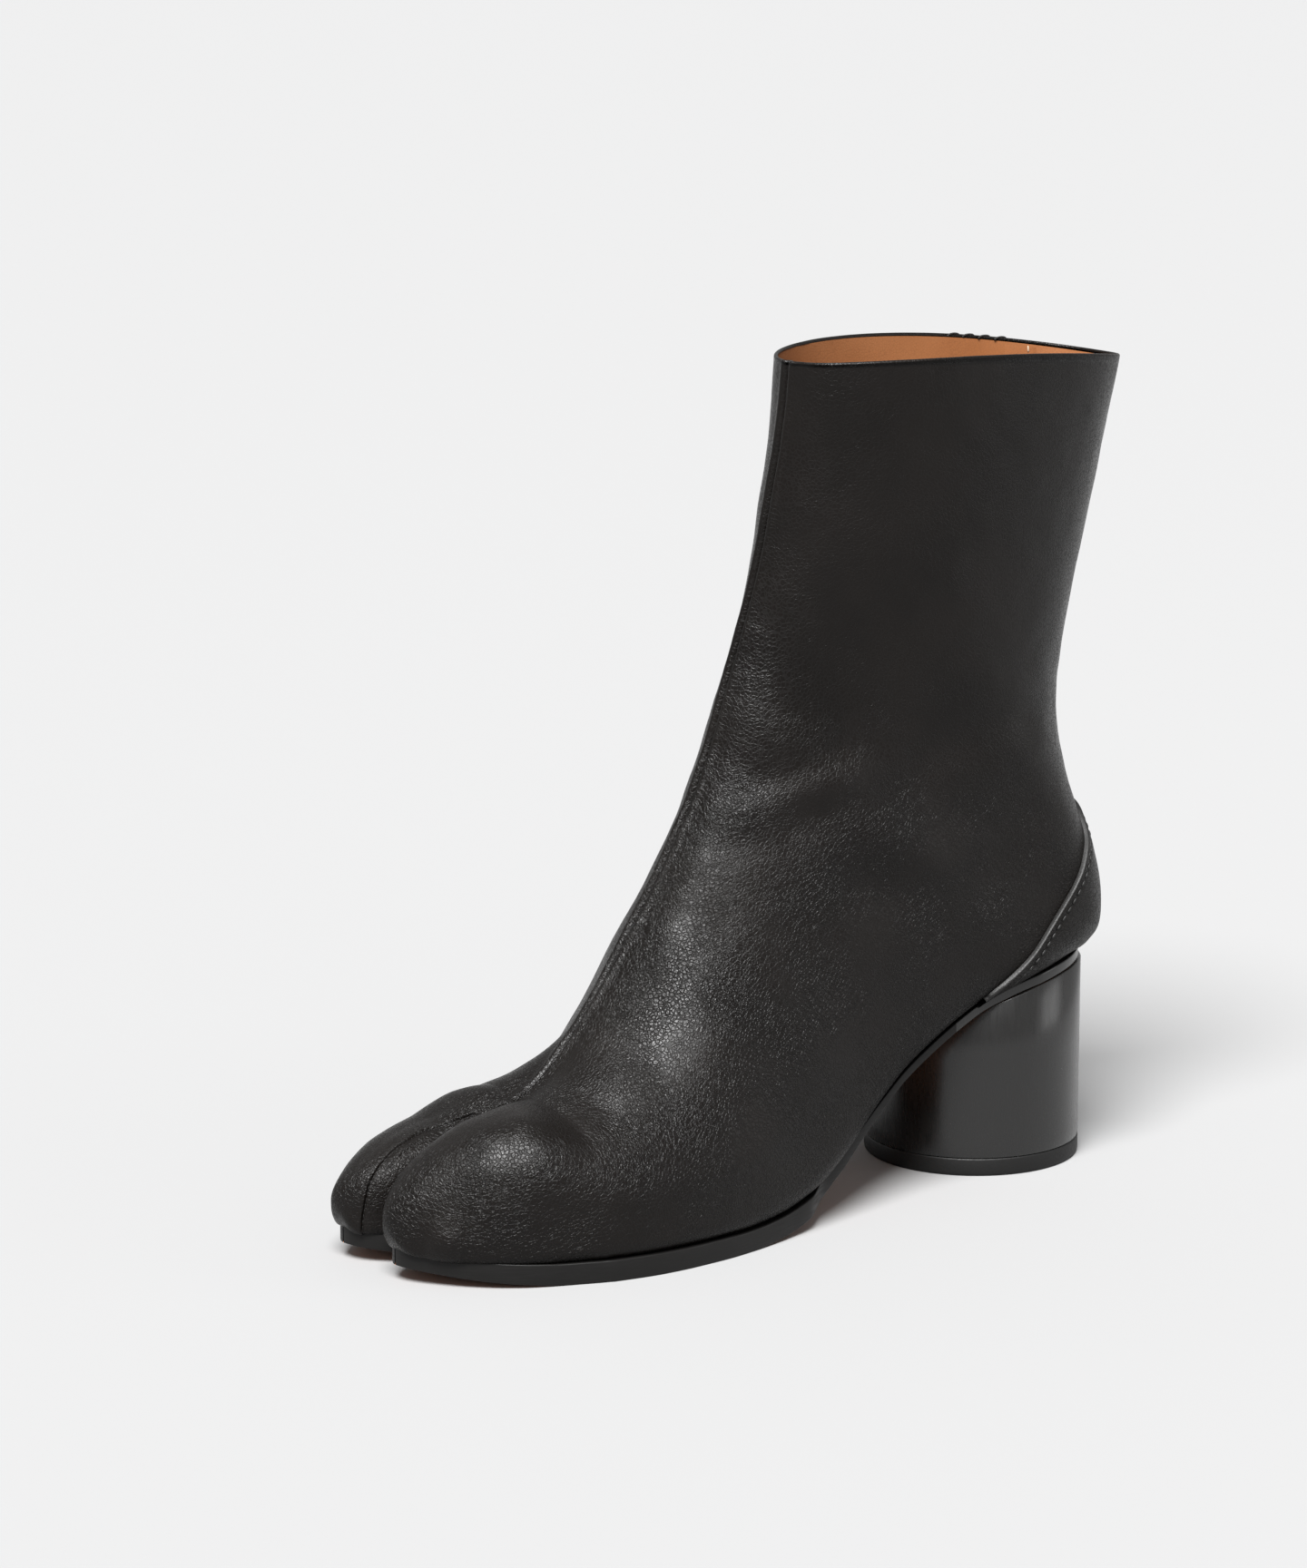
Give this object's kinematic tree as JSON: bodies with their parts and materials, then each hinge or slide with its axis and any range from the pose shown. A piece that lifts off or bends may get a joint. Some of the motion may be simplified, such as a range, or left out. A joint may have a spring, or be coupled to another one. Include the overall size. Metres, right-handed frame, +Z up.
{
  "type": "split-toe ankle boot",
  "caption": "Split-toe leather ankle boot with a round block heel, a front seam, a heel counter and a concealed side flap; left foot.",
  "frame": {"origin": "centre of the heel's bottom face, on the floor", "axes": "+Z up, toe towards -Y, outer side of the left foot towards +X"},
  "size_m": [0.0834, 0.2452, 0.2287],
  "materials": {
    "upper": "soft semi-gloss grain leather",
    "outsole": "tan leather with a black matte edge",
    "insole": "tan lining leather",
    "heel": "black satin lacquer",
    "top_lift": "black matte rubber",
    "heel_counter": "grain leather overlay",
    "closure_flap": "grain leather overlay"
  },
  "bodies": {
    "root": {"upper": "upper", "outsole": "outsole", "insole": "insole", "heel": "heel", "top_lift": "top_lift", "heel_counter": "heel_counter", "closure_flap": "closure_flap"}
  },
  "joints": []
}
